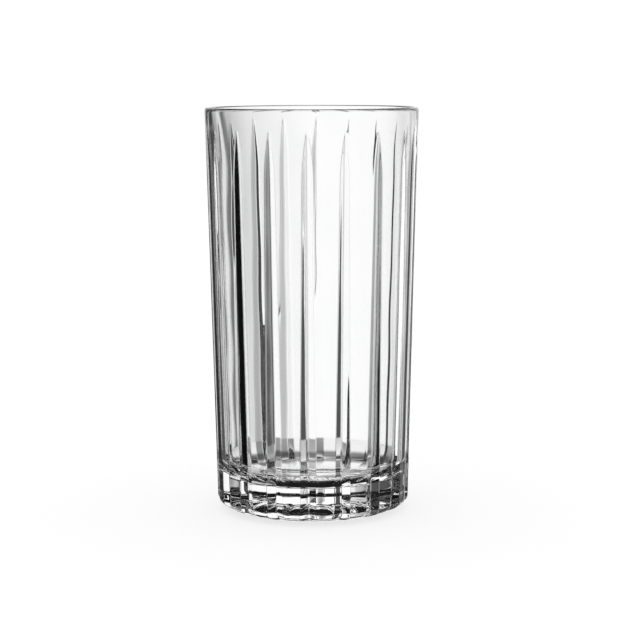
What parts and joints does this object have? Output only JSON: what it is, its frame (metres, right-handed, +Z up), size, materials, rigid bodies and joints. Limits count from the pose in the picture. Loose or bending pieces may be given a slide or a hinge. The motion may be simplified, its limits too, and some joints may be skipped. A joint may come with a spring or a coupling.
{
  "type": "water glass",
  "caption": "Tall tapered tumbler of clear pressed glass with a thick base and long pointed mitre flutes round the wall, for water and long drinks.",
  "frame": {"origin": "centre of the foot, on the table plane", "axes": "+Z up along the axis of the glass; -Y is the side nearest to the camera in the picture, +X to the right"},
  "size_m": [0.077, 0.0768, 0.146],
  "materials": {
    "clear_glass": "clear, colourless, fire-polished soda-lime glass"
  },
  "bodies": {
    "root": {"tumbler_body": "clear_glass"}
  },
  "joints": []
}
